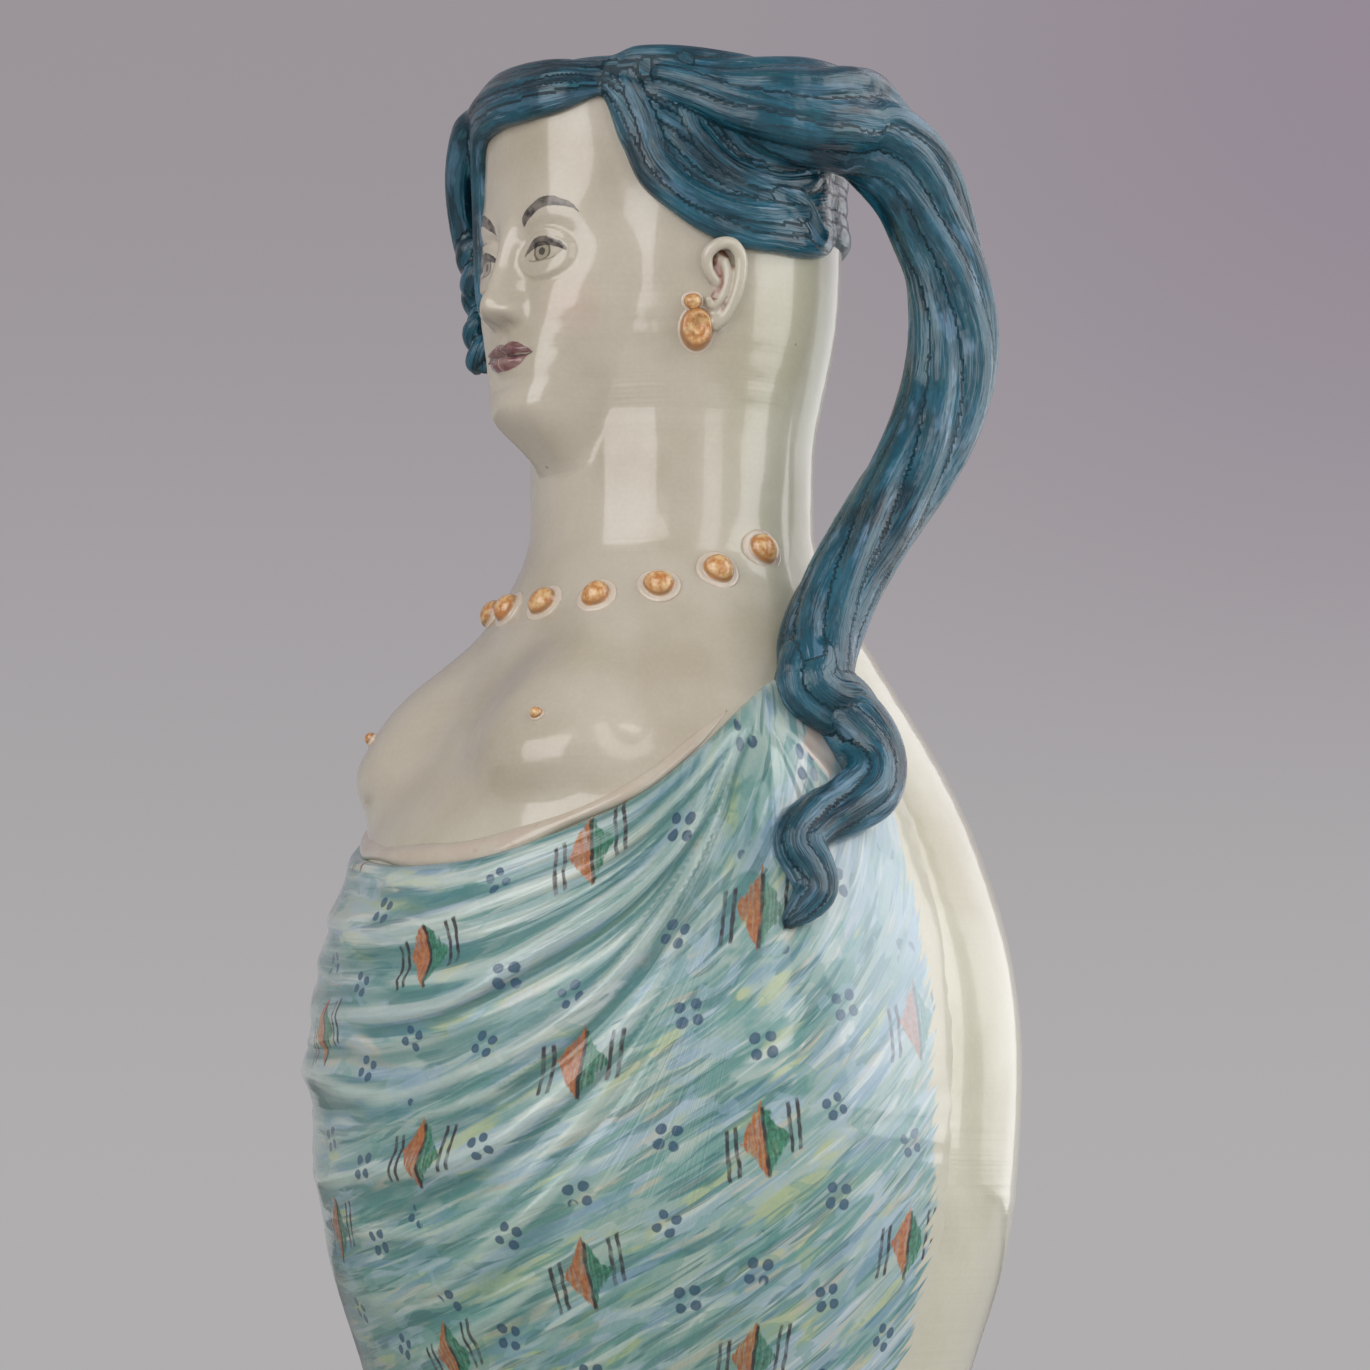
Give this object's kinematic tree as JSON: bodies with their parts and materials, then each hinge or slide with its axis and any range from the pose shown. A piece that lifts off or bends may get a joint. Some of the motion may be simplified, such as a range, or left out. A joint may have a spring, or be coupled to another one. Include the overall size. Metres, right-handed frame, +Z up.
{
  "type": "figural ceramic jug",
  "caption": "Tall glazed earthenware jug shaped as a draped standing figure, with the mouth in the crown of the head and a twisted hair handle.",
  "frame": {"origin": "centre of the flat foot on the resting plane", "axes": "+Z up along the thrown axis, -Y the way the figure faces, +X the figure's left, where the handle is"},
  "size_m": [0.1807, 0.1805, 0.4411],
  "materials": {
    "cream_glaze": "gloss",
    "rose_glaze": "gloss",
    "amber_glaze": "gloss",
    "hair_glaze": "gloss",
    "cloth_glaze": "gloss",
    "flesh_slip": "gloss"
  },
  "bodies": {
    "root": {"lower_body": "cream_glaze", "upper_body": "cream_glaze", "neck_and_head": "cream_glaze", "face": "cream_glaze", "nose": "cream_glaze", "eye_left": "cream_glaze", "eye_right": "cream_glaze", "ear_left": "cream_glaze", "ear_right": "cream_glaze", "bust_left": "cream_glaze", "bust_right": "cream_glaze", "upper_lip": "rose_glaze", "lower_lip": "rose_glaze", "earring_stud_left": "amber_glaze", "earring_stud_right": "amber_glaze", "earring_drop_left": "amber_glaze", "earring_drop_right": "amber_glaze", "pellet_left": "amber_glaze", "pellet_right": "amber_glaze", "bead_1": "amber_glaze", "bead_2": "amber_glaze", "bead_3": "amber_glaze", "bead_4": "amber_glaze", "bead_5": "amber_glaze", "bead_6": "amber_glaze", "bead_7": "amber_glaze", "bead_8": "amber_glaze", "bead_9": "amber_glaze", "bead_10": "amber_glaze", "hair_rim_left": "hair_glaze", "hair_rim_right": "hair_glaze", "hair_wave_left": "hair_glaze", "hair_wave_back": "hair_glaze", "hair_wave_right": "hair_glaze", "ringlet_upper": "hair_glaze", "ringlet_middle": "hair_glaze", "ringlet_lower": "hair_glaze", "handle": "hair_glaze", "handle_curl": "hair_glaze", "drape_sheet": "cloth_glaze", "drape_gather": "cloth_glaze", "drape_fold_1": "cloth_glaze", "drape_fold_2": "cloth_glaze", "drape_fold_3": "cloth_glaze", "drape_fold_4": "cloth_glaze", "drape_fold_5": "cloth_glaze", "drape_fold_6": "cloth_glaze", "neckline_coil": "flesh_slip"}
  },
  "joints": []
}
